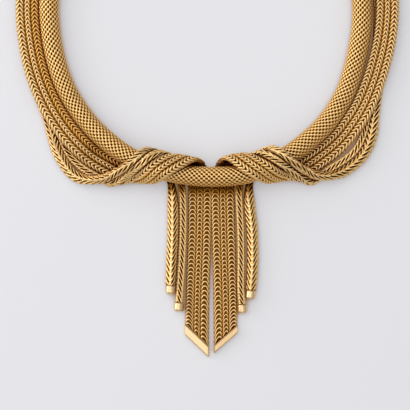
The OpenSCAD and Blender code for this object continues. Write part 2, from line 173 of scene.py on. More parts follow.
LEFT_INNER_NEAR = [
    [205, 7.4, FLAT, DOWN],
    [180, 6.3, FLAT, DOWN],
    [155, 6.3, FLAT, DOWN],
    [130, 6.2, FLAT, DOWN],
    [110, 6.15, FLAT, DOWN],
    [94, 6.1, FLAT, DOWN],
    [82, 6.6, FLAT, DOWN],
    [73, 8, FLAT, DOWN],
    [66.5, 9.9, FLAT, DOWN],
    [61, 11.8, FLAT, DOWN],
    [56, 13.8, FLAT, DOWN],
    [51.5, 15.2, FLAT, DOWN],
    [47, 15.4, FLAT, DOWN],
    [43, 15, FLAT, DOWN],
    [39.5, 14.3, FLAT, DOWN],
    [36.6, 14, 1.95, -80],
    [34.4, 12.9, 3.5, -45],
    [32.6, 10.3, 5.1, -20],
    [31.1, 7.1, 7.4, 10],
    [29.6, 3.9, 10.6, 45],
    [27.8, 0.5, 12.1, 85],
    [25.8, -3.2, 11.5, 115],
    [22.3, -6, 8.8, 150],
    [19.1, -6.5, 6, 185],
    [15.9, -5.2, 3.2, 225],
    [13.3, -2.2, 1.75, 255]]
RIGHT_OUTER_NEAR = [
    [204.5, 11.6, FLAT, DOWN],
    [180, 11.2, FLAT, DOWN],
    [155, 10.8, FLAT, DOWN],
    [130, 10.4, FLAT, DOWN],
    [111, 10.2, FLAT, DOWN],
    [97, 10.6, FLAT, DOWN],
    [87, 11.4, FLAT, DOWN],
    [79, 12.6, FLAT, DOWN],
    [73, 14.2, FLAT, -88],
    [68, 16.2, 1.95, -72],
    [64, 18.2, 2.1, -50],
    [60, 19.9, CORNER, -45],
    [56, 20.7, CORNER, -45],
    [52, 20.3, CORNER, -45],
    [48, 19.4, 2.6, -45],
    [44.6, 17.8, 4.6, -45],
    [41.8, 15.4, 5.4, -45],
    [39.6, 12.4, 6.6, -40],
    [38, 9.1, 8.3, -5],
    [36.6, 5.7, 10.3, 45],
    [35.3, 2.2, 11.8, 80],
    [33.9, -1.4, 12.2, 110],
    [32, -4.4, 10.7, 140],
    [30.1, -6, 8.1, 175],
    [27.1, -6.2, 5.05, 208],
    [23.8, -4.2, 2.45, 245],
    [21.1, -1.2, 1.62, 266]]
RIGHT_INNER_NEAR = [
    [204.5, 7.8, FLAT, DOWN],
    [180, 7.4, FLAT, DOWN],
    [155, 7, FLAT, DOWN],
    [130, 6.6, FLAT, DOWN],
    [111, 6.4, FLAT, DOWN],
    [97, 6.8, FLAT, DOWN],
    [87, 7.7, FLAT, DOWN],
    [79, 8.9, FLAT, DOWN],
    [73, 10.4, FLAT, DOWN],
    [68, 12.5, FLAT, DOWN],
    [64, 14.4, FLAT, DOWN],
    [60, 15.9, FLAT, DOWN],
    [56, 16.7, FLAT, DOWN],
    [52, 16.3, FLAT, DOWN],
    [48, 15.5, FLAT, DOWN],
    [44.4, 15, FLAT, DOWN],
    [41.2, 15, FLAT, DOWN],
    [38.6, 14.9, 2, -75],
    [36.9, 13.7, 3.5, -40],
    [35.6, 11, 5.4, -20],
    [34.4, 7.6, 7.7, 10],
    [32.9, 4.2, 10.4, 45],
    [31, 0.7, 12, 85],
    [28.5, -3.1, 11.4, 115],
    [25.6, -5.9, 8.8, 150],
    [22.3, -6.5, 6, 185],
    [19, -5.2, 3.2, 225],
    [16.4, -2.2, 1.75, 255]]

# %% The fringe below the rope: x, y, up, turn about the chain's own run, slant of the end
BAND_LEFT_HANG = [
    [-3.3, -38.2, 1.15, 0, 0],
    [-2.9, -42.5, 1.1, 0, 0],
    [-2.9, -50, 1.1, 0, 0],
    [-3.2, -66, 1.1, 0, 0],
    [-3.7, -80, 1.1, 0, 0.1],
    [-4, -92, 1.1, 0, 0.6],
    [-4.1, -102.8, 1.1, 0, 0.95]]
BAND_RIGHT_HANG = [
    [7, -38.4, 1.15, 0, 0],
    [6.7, -42.5, 1.1, 0, 0],
    [6.8, -50, 1.1, 0, 0],
    [7.2, -66, 1.1, 0, 0],
    [7.6, -80, 1.1, 0, -0.1],
    [7.8, -92, 1.1, 0, -0.5],
    [7.9, -102.8, 1.1, 0, -0.86]]
LEFT_OUTER_HANG = [
    [-15.2, -38.6, 1.6, 0],
    [-14.4, -43, 1.9, 15],
    [-14.1, -49, CORNER, 45],
    [-14.1, -60, CORNER, 45],
    [-14.6, -71, CORNER, 40],
    [-15.1, -82.1, 2.15, 30]]
LEFT_INNER_HANG = [
    [-11, -38.2, 1.6, 0],
    [-10.3, -42.5, 1.6, 0],
    [-9.9, -49, 1.6, 0],
    [-9.9, -58, 1.6, 0],
    [-10.3, -70, 1.6, 0],
    [-11, -81, 1.8, 0],
    [-11.6, -89.3, 2.15, 0]]
RIGHT_OUTER_HANG = [
    [18.2, -38.2, 1.6, 0],
    [17.6, -43, 1.9, -15],
    [18, -49, CORNER, -45],
    [19, -58, CORNER, -45],
    [19.3, -66, CORNER, -45],
    [19.2, -75, CORNER, -45],
    [18.5, -84.2, 2.15, -35]]
RIGHT_INNER_HANG = [
    [14.3, -38.2, 1.6, 0],
    [13.5, -42.5, 1.6, 0],
    [13.7, -49, 1.6, 0],
    [14.2, -58, 1.6, 0],
    [14.4, -70, 1.6, 0],
    [14.3, -83, 1.8, 0],
    [14.8, -90.1, 2.15, 0]]

# %% [markdown]
# A smooth line through listed points is a Catmull-Rom curve. The centripetal kind spaces its
# parameter by the square root of the distance between points, so it never loops or overshoots
# where a long stretch meets a short one. A Blender curve object could do it, but the weave
# needs the line's frame at thousands of places, and arrays give that at once.


# %% Smooth curve through rows of numbers
def smooth_curve(rows, steps, count):
    """Cubic Hermite spans between rows b and c with tangents from the neighbours a and d:
    leave = db*((b-a)/da - (c-a)/(da+db) + (c-b)/db), where da, db and dc are the square roots
    of the distances between rows, measured on their first count numbers."""
    rows = np.array(rows, float)
    all_rows = np.vstack([2 * rows[0] - rows[1], rows, 2 * rows[-1] - rows[-2]])
    roots = np.sqrt(np.linalg.norm(np.diff(all_rows[:, :count], axis=0), axis=1))
    a, b, c, d = all_rows[:-3], all_rows[1:-2], all_rows[2:-1], all_rows[3:]
    da, db, dc = roots[:-2, None], roots[1:-1, None], roots[2:, None]
    leave = db * ((b - a) / da - (c - a) / (da + db) + (c - b) / db)
    reach = db * ((c - b) / db - (d - b) / (db + dc) + (d - c) / dc)
    t = (np.arange(steps) / steps)[None, :, None]
    b, c, leave, reach = b[:, None], c[:, None], leave[:, None], reach[:, None]
    spans = ((2 * t**3 - 3 * t**2 + 1) * b + (t**3 - 2 * t**2 + t) * leave
             + (3 * t**2 - 2 * t**3) * c + (t**3 - t**2) * reach)
    return np.vstack([spans.reshape(-1, rows.shape[1]), rows[-1]])


def running_length(points):
    """Distance along a line to each of its points: the running sum of its steps."""
    return np.concatenate([[0], np.cumsum(np.linalg.norm(np.diff(points, axis=0), axis=1))])


# %% The rope's line, measured from its front
ROPE_STEPS = 12
rope_line = smooth_curve(ROPE_LEFT[::-1] + [ROPE_FRONT] + ROPE_RIGHT, ROPE_STEPS, 2)
rope_along = running_length(rope_line)
rope_along = rope_along - rope_along[len(ROPE_LEFT) * ROPE_STEPS]
print("rope length in mm", rope_along[-1] - rope_along[0])


def rope_at(along):
    """Point of the rope's line at each distance along it, by linear interpolation."""
    return np.stack([np.interp(along, rope_along, rope_line[:, k]) for k in (0, 1)], axis=-1)


def outwards(along):
    """Level direction out of the neck opening: the line's direction turned by a right angle."""
    run = rope_at(along + 1) - rope_at(along - 1)
    run /= np.linalg.norm(run, axis=-1, keepdims=True)
    return np.stack([run[..., 1], -run[..., 0]], axis=-1)


# %% Knots of a route: place, direction of the outer face, curl, slant, turn to the top
def knots_near(side, rows):
    """Rows beside the rope: the line's point plus out times the outward direction, and the
    facing angle turns the face's direction from outwards (0) to up (90). The turn is the angle
    round the chain from its outer face to its top: side * (90 - facing)."""
    rows = np.array([row + [0] * (5 - len(row)) for row in rows], float)
    away = outwards(side * rows[:, 0])
    spot = rope_at(side * rows[:, 0]) + rows[:, 1:2] * away
    facing = np.radians(rows[:, 3:4])
    return np.hstack([spot, rows[:, 2:3], away * np.cos(facing), np.sin(facing),
                      rows[:, 4:5], 0 * facing, side * (np.pi / 2 - facing)])


def knots_hang(side, rows):
    """Rows of the fringe: the face looks down, turned about the run by the roll angle, so the
    turn from the face to the top is half a turn less the roll."""
    rows = np.array([row + [0] * (5 - len(row)) for row in rows], float)
    roll = np.radians(rows[:, 3:4])
    return np.hstack([rows[:, :3], np.sin(roll), 0 * roll, -np.cos(roll), 0 * roll,
                      rows[:, 4:5], -side * np.pi - roll])


# %% [markdown]
# Every chain is then a run with a frame at each of its places: the place, the direction of the
# run, the direction across it, and the direction that its outer face looks. A wire is laid
# down in flat coordinates (along, across, height), and the frame carries it onto the run, the
# way a paper pattern is wrapped on a form.


# %% Squeezing wires together at the ends of a chain
END_ROOM = 0.8


def soft_stop(s, length):
    """Distances within END_ROOM of an end, r from it, become END_ROOM * exp(r / END_ROOM - 1)
    from it, so wires that would stick out are pressed into the end and none gets zero size."""
    start = np.minimum(s / END_ROOM - 1, 0)
    end = np.minimum((length - s) / END_ROOM - 1, 0)
    s = np.where(start < 0, END_ROOM * np.exp(start), s)
    return np.where(end < 0, length - END_ROOM * np.exp(end), s)


# %% A run with a frame at every distance along it
LEAST_BEND = 1e-3


class Run:
    """Place, across and face directions as functions of the distance along the chain. Each is
    sampled eight times between two knots and interpolated, then made square and unit again."""

    def __init__(self, knots, steps=8):
        line = smooth_curve(knots, steps, 3)
        self.place = line[:, :3]
        self.face = line[:, 3:6]
        self.curl = line[:, 6]
        self.slant = line[:, 7]
        self.turn = line[:, 8]
        self.along = running_length(self.place)
        self.length = self.along[-1]
        self.run = np.gradient(self.place, self.along, axis=0)

    def at(self, s):
        """Interpolates each column at s, and squares the face direction to the run."""
        def pick(values):
            return np.stack([np.interp(s, self.along, values[:, k]) for k in range(3)], axis=-1)
        place, run, face = pick(self.place), pick(self.run), pick(self.face)
        run /= np.linalg.norm(run, axis=-1, keepdims=True)
        face -= (face * run).sum(-1, keepdims=True) * run
        face /= np.linalg.norm(face, axis=-1, keepdims=True)
        return place, run, face, np.cross(run, face)

    def lay(self, s, across, height):
        """Point = place + across' * side + height' * face, where a curl of 1/radius bends the
        flat distance across into an arc: across' = (radius + height) * sin(across / radius).
        A slant moves the point on by slant * across, and past the run's end the line goes
        straight on, so a slanted end stays flat."""
        curl = np.interp(s, self.along, self.curl)
        bend = np.where(np.abs(curl) < LEAST_BEND, LEAST_BEND, curl)
        sideways = (1 / bend + height) * np.sin(across * bend)
        outward = (1 / bend + height) * np.cos(across * bend) - 1 / bend
        s = s + np.interp(s, self.along, self.slant) * across
        beyond = np.clip(s - self.length, 0, None)
        place, run, face, side = self.at(s)
        return (place + sideways[..., None] * side + outward[..., None] * face
                + beyond[..., None] * run)


# %% The seven runs
ROPE_KNOTS = 410
ROPE_SPANS = 2
rope_stations = np.linspace(rope_along[0], rope_along[-1], ROPE_KNOTS)
rope_rise = np.interp(np.abs(rope_stations), *np.array(ROPE_RISE).T)
rope_knots = np.hstack([
    rope_at(rope_stations), rope_rise[:, None], np.tile([0, 0, 1, 0, 0, 0], (ROPE_KNOTS, 1))])
RUNS = {
    "mesh_rope": Run(rope_knots, ROPE_SPANS),
    "band_left": Run(np.vstack([knots_near(-1, BAND_LEFT_NEAR), knots_hang(-1, BAND_LEFT_HANG)])),
    "band_right": Run(np.vstack([knots_near(1, BAND_RIGHT_NEAR), knots_hang(1, BAND_RIGHT_HANG)])),
    "strand_left_outer": Run(np.vstack([
        knots_near(-1, LEFT_OUTER_NEAR), knots_hang(-1, LEFT_OUTER_HANG)])),
    "strand_left_inner": Run(np.vstack([
        knots_near(-1, LEFT_INNER_NEAR), knots_hang(-1, LEFT_INNER_HANG)])),
    "strand_right_inner": Run(np.vstack([
        knots_near(1, RIGHT_INNER_NEAR), knots_hang(1, RIGHT_INNER_HANG)])),
    "strand_right_outer": Run(np.vstack([
        knots_near(1, RIGHT_OUTER_NEAR), knots_hang(1, RIGHT_OUTER_HANG)])),
}
for name, run in RUNS.items():
    print(name, "run of", round(run.length, 1), "mm")

# %% [markdown]
# Gold looks bright on the crests of a weave and brown in its gaps, where light goes in and
# polish does not: the brown is partly tarnish and partly painted shade. Every vertex carries
# its own crest value, 0 deep in the weave and 1 on top, and the material reads it, so the
# painted shading follows the wires on any side of the piece. The crest value also carries the
# painted shade in holes and notches and the painted shadow of the rope on the fringe. Light
# that comes back out of a narrow gap between gold walls has turned brown, and an ambient
# occlusion node, which measures how much of the sky is covered near a point, paints that tint
# as shade.

# %% Woven gold: metal whose colour and roughness follow the crest value
CREST = "crest"
GOLD_CREST = (0.96, 0.69, 0.33, 1)
GOLD_FLANK = (0.70, 0.35, 0.055, 1)
GOLD_DEEP = (0.185, 0.066, 0.003, 1)
DEEP_AT, FLANK_AT, CREST_AT = 0.15, 0.5, 0.85
ROUGH_DEEP, ROUGH_CREST, ROUGH_PLAIN = 0.6, 0.46, 0.44
GOLD_REACH = 7 * MM
GOLD_SHELTERED = (0.45, 0.2, 0.06, 1)
SHADE_AT, WHITE_AT = 0.28, 0.64


def metal(name, color, roughness):
    """A plain metal: base colour and roughness set on the shader itself."""
    material = bpy.data.materials.new(name)
    material.use_nodes = True
    shader = material.node_tree.nodes["Principled BSDF"]
    shader.inputs["Metallic"].default_value = 1
    shader.inputs["Base Color"].default_value = color
    shader.inputs["Roughness"].default_value = roughness
    return material, shader


def sheltered(tree, reach, shade):
    """Colour that is white in the open and turns to the shade where other surfaces within
    reach cover most of the sky, as light does that comes back from gold in a narrow gap."""
    cover = tree.nodes.new("ShaderNodeAmbientOcclusion")
    cover.inputs["Distance"].default_value = reach
    tint = tree.nodes.new("ShaderNodeValToRGB")
    tint.color_ramp.elements[0].color = shade
    tint.color_ramp.elements[0].position = SHADE_AT
    tint.color_ramp.elements[1].color = (1, 1, 1, 1)
    tint.color_ramp.elements[1].position = WHITE_AT
    tree.links.new(cover.outputs["AO"], tint.inputs["Fac"])
    return tint


def times(tree, first, second):
    """The product of two colours."""
    product = tree.nodes.new("ShaderNodeMix")
    product.data_type = "RGBA"
    product.blend_type = "MULTIPLY"
    product.inputs["Factor"].default_value = 1
    tree.links.new(first.outputs["Color"], product.inputs["A"])
    tree.links.new(second.outputs["Color"], product.inputs["B"])
    return product.outputs["Result"]


def woven_gold():
    """Base colour is a ramp over the crest value, from brown over amber to pale gold, which paints
    the shade of the gaps along with some tarnish, and the roughness falls from the gaps to the
    crests. Sheltered places get a darker painted shade. The plain values on the shader are for a
    viewer that doesn't read the crest value."""
    material, shader = metal("woven_gold", GOLD_CREST, ROUGH_PLAIN)
    tree = material.node_tree
    crest = tree.nodes.new("ShaderNodeAttribute")
    crest.attribute_name = CREST
    ramp = tree.nodes.new("ShaderNodeValToRGB")
    ramp.color_ramp.elements[0].color = GOLD_DEEP
    ramp.color_ramp.elements[0].position = DEEP_AT
    ramp.color_ramp.elements[1].color = GOLD_CREST
    ramp.color_ramp.elements[1].position = CREST_AT
    middle = ramp.color_ramp.elements.new(FLANK_AT)
    middle.color = GOLD_FLANK
    rough = tree.nodes.new("ShaderNodeMapRange")
    rough.inputs["To Min"].default_value = ROUGH_DEEP
    rough.inputs["To Max"].default_value = ROUGH_CREST
    tree.links.new(crest.outputs["Fac"], ramp.inputs["Fac"])
    shade = sheltered(tree, GOLD_REACH, GOLD_SHELTERED)
    tree.links.new(times(tree, ramp, shade), shader.inputs["Base Color"])
    tree.links.new(crest.outputs["Fac"], rough.inputs["Value"])
    tree.links.new(rough.outputs["Result"], shader.inputs["Roughness"])
    return material


WOVEN = woven_gold()

# %% Polished gold, and the right bar's rougher gold in painted shade: colour and roughness
POLISHED_COLOUR, POLISHED_ROUGH = (0.80, 0.58, 0.32, 1), 0.28
SHADED_BAR_COLOUR, SHADED_BAR_ROUGH = (0.70, 0.49, 0.26, 1), 0.32
POLISHED, _ = metal("polished_gold", POLISHED_COLOUR, POLISHED_ROUGH)
SHADED_BAR, _ = metal("shaded_bar_gold", SHADED_BAR_COLOUR, SHADED_BAR_ROUGH)

# %% [markdown]
# One bent wire is a small closed tube: rings of five points along a short path. Its path and
# rings are worked out once, flat, and then copied to every place by adding arrays, which keeps
# some two thousand wires quick. Each wire has ninety faces.


# %% A wire template in flat coordinates
WIRE_SIDES = 5
RING_TURN = 0.25


def wire(path, wide, high, sides=WIRE_SIDES):
    """Rings round a path of (along, across, height) points. A ring's point is the centre plus
    cos * wide/2 along the level normal of the path and sin * high/2 along the other normal.
    Returns the vertices and the triangles of the closed tube."""
    path = np.array(path, float)
    tangent = np.gradient(path, axis=0)
    tangent /= np.linalg.norm(tangent, axis=1, keepdims=True)
    level = np.stack([-tangent[:, 1], tangent[:, 0], 0 * tangent[:, 0]], axis=1)
    level /= np.linalg.norm(level, axis=1, keepdims=True)
    upright = np.cross(tangent, level)
    turn = 2 * np.pi * (np.arange(sides) + RING_TURN) / sides
    wide, high = (np.broadcast_to(v, len(path))[:, None, None] for v in (wide, high))
    rings = (path[:, None] + np.cos(turn)[None, :, None] * wide / 2 * level[:, None]
             + np.sin(turn)[None, :, None] * high / 2 * upright[:, None])
    vertices = np.vstack([rings.reshape(-1, 3), path[:1], path[-1:]])
    k = np.arange(sides)
    n = (k + 1) % sides
    base = sides * np.arange(len(path) - 1)[:, None]
    around = np.stack([base + k, base + n, base + sides + n], axis=-1).reshape(-1, 3)
    closing = np.stack([base + k, base + sides + n, base + sides + k], axis=-1).reshape(-1, 3)
    last = sides * (len(path) - 1)
    start = np.stack([n, k, np.full(sides, last + sides)], axis=-1)
    end = np.stack([last + k, last + n, np.full(sides, last + sides + 1)], axis=-1)
    return vertices, np.vstack([around, closing, start, end])


# %% Copies of a template, and the mesh that holds them
def copies(template, along, across, face):
    """Every copy's vertices: its place plus the template, with the height mirrored where face
    is -1, on the chain's other side. A mirrored copy has its triangles reversed, so that its
    faces still point outwards."""
    vertices, faces = template
    place = np.stack(np.broadcast_arrays(along, across, face), axis=-1).reshape(-1, 3)
    s = place[:, 0:1] + vertices[None, :, 0]
    a = place[:, 1:2] + vertices[None, :, 1]
    h = place[:, 2:3] * vertices[None, :, 2]
    starts = np.arange(len(place))[:, None, None] * len(vertices)
    inside_out = (place[:, 2] < 0)[:, None, None]
    return s, a, h, np.where(inside_out, faces[None, :, ::-1], faces[None]) + starts


ABOVE_SURFACE = 0.02


def mesh_piece(name, points, faces, crest, material, node):
    """Fills one mesh by arrays, with the crest value of each vertex as an attribute. What would
    sink into the surface is pressed flat on it."""
    mesh = bpy.data.meshes.new(name)
    points = points.reshape(-1, 3)
    points[:, 2] = np.maximum(points[:, 2], ABOVE_SURFACE)
    faces = faces.reshape(-1, 3)
    mesh.vertices.add(len(points))
    mesh.vertices.foreach_set("co", (points * MM).astype(np.float32).ravel())
    mesh.loops.add(faces.size)
    mesh.loops.foreach_set("vertex_index", faces.astype(np.int32).ravel())
    mesh.polygons.add(len(faces))
    mesh.polygons.foreach_set("loop_start", np.arange(0, faces.size, 3, dtype=np.int32))
    mesh.update(calc_edges=True)
    mesh.shade_smooth()
    mesh.attributes.new(CREST, "FLOAT", "POINT").data.foreach_set(
        "value", crest.astype(np.float32).ravel())
    mesh.materials.append(material)
    piece = bpy.data.objects.new(name, mesh)
    bpy.context.collection.objects.link(piece)
    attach(piece, "root")
    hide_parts(node)
    print(name, len(faces), "triangles")
    return piece


# %% [markdown]
# The flat bands are woven from three ribs. Each rib is a file of loops: a loop's bend comes up
# through the one before it, and its two legs spread and dive under the next. On the stretched
# band the loops are drawn to narrow points, with a small dark hole under each. In the hanging
# fringe they relax to round arches with wider holes. The middle rib is finer than the others.

# %% A loop of a rib, seen from outside
BAND_PITCH = 1.75
RIB = BAND_WIDE / 3
MIDDLE_NARROWER = 0.74
BAND_WIRE_HIGH = 0.7
HALF_POINTED = {"spread": [1.46, 1.16, 0.78, 0.36, 0], "run": [2.6, 1.72, 0.98, 0.3, 0],
                "dip": [0.5, 0.2, 0.06, 0.02, 0], "wide": [1.1, 1.06, 0.98, 0.84, 0.72]}
HALF_ROUND = {"spread": [1.5, 1.36, 1.1, 0.64, 0], "run": [2.6, 1.7, 0.85, 0.17, 0],
              "dip": [0.5, 0.26, 0.1, 0.02, 0], "wide": [0.92, 0.84, 0.74, 0.68, 0.68]}


def mirrored(values, sign):
    """A half loop's values from its foot to its bend, and back with the sign to the other foot."""
    values = np.array(values)
    return np.concatenate([values, sign * values[-2::-1]])


def band_loop(half_loop, narrower):
    """The loop's middle line: across from one foot to the other, along furthest at the feet,
    and lower towards the feet, under the bend of the next loop."""
    crest = BAND_THICK / 2 - BAND_WIRE_HIGH / 2
    path = np.stack([mirrored(half_loop["run"], 1), narrower * mirrored(half_loop["spread"], -1),
                     crest - mirrored(half_loop["dip"], 1)], axis=1)
    return wire(path, narrower ** 0.5 * mirrored(half_loop["wide"], 1), BAND_WIRE_HIGH)


# %% A core under the wires, which closes the gaps between them
def tube_faces(rows, count):
    """Triangles of a tube that has rows of count points, closed by a fan at both ends."""
    k = np.arange(count)
    n = (k + 1) % count
    base = count * np.arange(rows - 1)[:, None]
    first = np.stack([base + k, base + n, base + count + n], axis=-1).reshape(-1, 3)
    second = np.stack([base + k, base + count + n, base + count + k], axis=-1).reshape(-1, 3)
    last = count * (rows - 1)
    tip = np.arange(1, count - 1)
    start = np.stack([0 * tip, tip + 1, tip], axis=-1)
    end = np.stack([last + 0 * tip, last + tip, last + tip + 1], axis=-1)
    return np.vstack([first, second, start, end])


def core(run, section, spacing):
    """A closed tube with the section's points carried along the whole run."""
    stations = np.linspace(0, run.length, int(run.length / spacing))[:, None]
    points = run.lay(stations + 0 * section[:, 0], section[:, 0] + 0 * stations,
                     section[:, 1] + 0 * stations)
    return points.reshape(-1, 3), tube_faces(len(stations), len(section))


def joined(parts):
    """One vertex array, one face array and one crest array out of several."""
    offset = 0
    points, faces, crests = [], [], []
    for part_points, part_faces, part_crest in parts:
        points.append(part_points.reshape(-1, 3))
        faces.append(part_faces.reshape(-1, 3) + offset)
        crests.append(part_crest.ravel())
        offset += len(points[-1])
    return np.vstack(points), np.vstack(faces), np.concatenate(crests)


# %% Painted shadow of the rope at the top of the fringe
FRINGE_TOP = -41.5
FRINGE_HALF_WIDE = 22.0
FRINGE_LOW = 5
FRINGE_HIDDEN = 10
BROWN_LONG = 3.5
ROPE_SHADOW_PART = 0.7


def painted_rope_shadow(run, s):
    """Part of the crest value that is left under the painted shadow of the rope:
    1 - ROPE_SHADOW_PART where the hanging part comes out from under the rope, and all of it
    BROWN_LONG lower down the fringe."""
    x, y, z = (np.interp(s, run.along, run.place[:, k]) for k in range(3))
    near = np.clip(1 - (FRINGE_TOP - y) / BROWN_LONG, 0, 1)
    return 1 - ROPE_SHADOW_PART * near * (np.abs(x) < FRINGE_HALF_WIDE) * (z < FRINGE_LOW) * (
        y < FRINGE_TOP + FRINGE_HIDDEN)


# %% Crest values of a band, and the section of its core
FIRST_LOOP = 0.3
CREST_FROM, CREST_MOST = 0.25, 0.93
EDGE_CREST, EDGE_WIDE = 0.8, 0.4
LOW_FROM, LOW_FADE = 7, 2
CORE_WIDER, CORE_SHOULDER, CORE_THICK, CORE_STEP = 0.15, 0.6, 0.42, 1.6


# %% Weave one band
def weave_band(name, fringe, beside_rope):
    """Loops in three ribs on both faces, one for each pitch, over a thin core painted brown as the
    shade inside the weave. From the distance fringe on they are round. Where the band lies low,
    under LOW_FROM, the rib beside the rope gets a painted shade: it falls to the part beside_rope
    of the others' crest value. Outer edges are lighter, and the top of the fringe gets the
    painted shadow of the rope."""
    run = RUNS[name]
    along = np.arange(FIRST_LOOP, run.length, BAND_PITCH)
    both_faces = np.array([1.0, -1.0])[None, None, :]
    loops = []
    for half_loop, places, unshaded_part in ((HALF_POINTED, along[along < fringe], beside_rope),
                                    (HALF_ROUND, along[along >= fringe], 1.0)):
        for narrower, ribs in ((1.0, [-RIB, RIB]), (MIDDLE_NARROWER, [0.0])):
            s, a, h, faces = copies(band_loop(half_loop, narrower), places[:, None, None],
                                    np.array(ribs)[None, :, None], both_faces)
            crest = np.clip((np.abs(h) - CREST_FROM) / (BAND_THICK / 2 - CREST_FROM),
                            0, CREST_MOST)
            edge = EDGE_CREST * np.clip((np.abs(a) - BAND_WIDE / 2) / EDGE_WIDE + 1, 0, 1)
            low = np.interp(s, run.along, run.place[:, 2])
            low = np.clip((LOW_FROM - low) / LOW_FADE, 0, 1)
            # Outer edges lighter; where the band lies low, the rib beside the rope gets a painted
            # shade.
            crest = np.maximum(crest, edge) * (1 - (1 - unshaded_part) * low * (a > RIB / 2))
            # Painted shadow of the rope at the top of the fringe.
            crest = crest * painted_rope_shadow(run, s)
            loops.append((run.lay(soft_stop(s, run.length), a, h), faces, crest))
    edge, half = BAND_WIDE / 2 + CORE_WIDER, BAND_WIDE / 2 - CORE_SHOULDER
    section = np.array([[-edge, 0], [-half, CORE_THICK], [half, CORE_THICK], [edge, 0],
                        [half, -CORE_THICK], [-half, -CORE_THICK]])
    middle, middle_faces = core(run, section, CORE_STEP)
    # The core is painted brown as the shade inside the weave, lighter at its outer edges.
    core_crest = np.tile([EDGE_CREST, 0, 0, EDGE_CREST, 0, 0], len(middle) // len(section))
    points, faces, crest = joined(loops + [(middle, middle_faces, core_crest)])
    return mesh_piece(name + "_weave", points, faces, crest, WOVEN, name)


FRINGE_LONG = 67.0
# Part of the crest value kept on the low rib beside the rope: a painted shade, on the left band
# only.
LEFT_BESIDE_ROPE, RIGHT_BESIDE_ROPE = 0.72, 1.0
weave_band("band_left", RUNS["band_left"].length - FRINGE_LONG, LEFT_BESIDE_ROPE)
weave_band("band_right", RUNS["band_right"].length - FRINGE_LONG, RIGHT_BESIDE_ROPE)

# %% [markdown]
# The loose chains are square. Their links show as long slanting strokes that meet in a V along
# one corner and in an upturned V along the next, like the grain of an ear of wheat. The outer
# chains lie with a corner up, so the whole V is seen, and it points to the free end. Halfway
# along every other stroke is a small dark notch. One closed skin is enough for all this if its
# rows of points follow the strokes, because then a ridge needs only few points across it.

# %% Strokes and notches of a chain's skin
STRAND_PITCH = 2.46
STRAND_COLUMNS = 32
ROWS_IN_PITCH = 10
STRAND_SWELL = 0.4
SQUARENESS = 8
STROKE_LONG = 4.6
GROOVE_DEEP = 0.22
POINT_ROUND = 0.01
SWELL_BELOW, SWELL_FADE = 4, 1.5
RIDGE_POWER = 0.7
RIDGE_CREST, GROOVE_CREST = 0.3, 0.68
NOTCH_LONG, NOTCH_WIDE, NOTCH_DEEP = 0.6, 0.5, 0.9
NOTCH_PLACE = 0.25
NOTCH_RIM, NOTCH_SLOPE = 1.4, 0.6
NOTCH_SHADE, NOTCH_SHADE_SLOPE = 1.7, 0.5


def strokes(row, angle):
    """Depth below the outline and crest value. Strokes are ridges along the rows,
    |sin(2 pi row / pitch)|^power, and every other one has a notch between two corners, where
    d = sqrt((da / long)^2 + (ds / wide)^2) is small. The grooves between strokes are painted
    darker and the notch is painted brown, both as painted shade."""
    ridge = np.abs(np.sin(2 * np.pi * row / STRAND_PITCH)) ** RIDGE_POWER
    ds = ((row / STRAND_PITCH - NOTCH_PLACE) % 1 - 0.5) * STRAND_PITCH
    da = (angle % (np.pi / 2) - np.pi / 4) * STRAND_SIDE / 2
    distance = np.hypot(da / NOTCH_LONG, ds / NOTCH_WIDE)
    notch = np.clip((NOTCH_RIM - distance) / NOTCH_SLOPE, 0, 1)
    # The notch is painted brown as shade.
    brown = np.clip((NOTCH_SHADE - distance) / NOTCH_SHADE_SLOPE, 0, 1)
    return (GROOVE_DEEP * (1 - ridge) + NOTCH_DEEP * notch,
            (GROOVE_CREST + RIDGE_CREST * ridge) * (1 - brown))


# %% Weave one loose chain
def weave_strand(name, swell, turned):
    """A row runs from the V's point back to both sides: s = row - long * sqrt(u^2 + round),
    where u is 0 at the point and 1 a quarter turn from it. The V's point is on the chain's top,
    turned by one angle as far as the belly and by another in the fringe. The outline is the
    superellipse reach = depth / (|cos|^n + |sin|^n)^(1/n). Where the chain lies loose on a
    corner, under SWELL_BELOW, it swells by swell * |sin(2 * turn)|."""
    run = RUNS[name]
    low = np.clip((SWELL_BELOW - run.place[:, 2]) / SWELL_FADE, 0, 1)
    grown = swell * np.abs(np.sin(2 * run.turn)) * low
    row = np.arange(0, run.length + STROKE_LONG, STRAND_PITCH / ROWS_IN_PITCH)[:, None]
    angle = 2 * np.pi * np.arange(STRAND_COLUMNS)[None, :] / STRAND_COLUMNS
    sunk, crest = strokes(row, angle)
    aside = np.abs((angle + np.pi / 2) % np.pi - np.pi / 2) / (np.pi / 2)
    s = soft_stop(row - STROKE_LONG * np.sqrt(aside ** 2 + POINT_ROUND), run.length)
    # Painted shadow of the rope at the top of the fringe.
    crest = crest * painted_rope_shadow(run, s)
    depth = STRAND_SIDE / 2 - sunk + np.interp(s, run.along, grown)
    angle = (angle + np.radians(np.interp(s / run.length, TURN_CHANGES, turned))
             + np.interp(s, run.along, run.turn))
    depth /= (np.abs(np.cos(angle)) ** SQUARENESS
              + np.abs(np.sin(angle)) ** SQUARENESS) ** (1 / SQUARENESS)
    points = run.lay(s, depth * np.sin(angle), depth * np.cos(angle))
    return mesh_piece(name + "_weave", points, tube_faces(len(row), STRAND_COLUMNS),
                      crest, WOVEN, name)


# %% The four loose chains: swell, and the V's turn in degrees before and after its change
# The turn changes evenly between these two parts of a chain's length.
TURN_CHANGES = (0.55, 0.7)
STRAND_LOOKS = [
    ["strand_left_outer", STRAND_SWELL, (-12, 12)],
    ["strand_left_inner", 0, (-45, -45)],
    ["strand_right_inner", 0, (-45, -45)],
    ["strand_right_outer", STRAND_SWELL, (36, 12)]]
for name, swell, turned in STRAND_LOOKS:
    weave_strand(name, swell, turned)

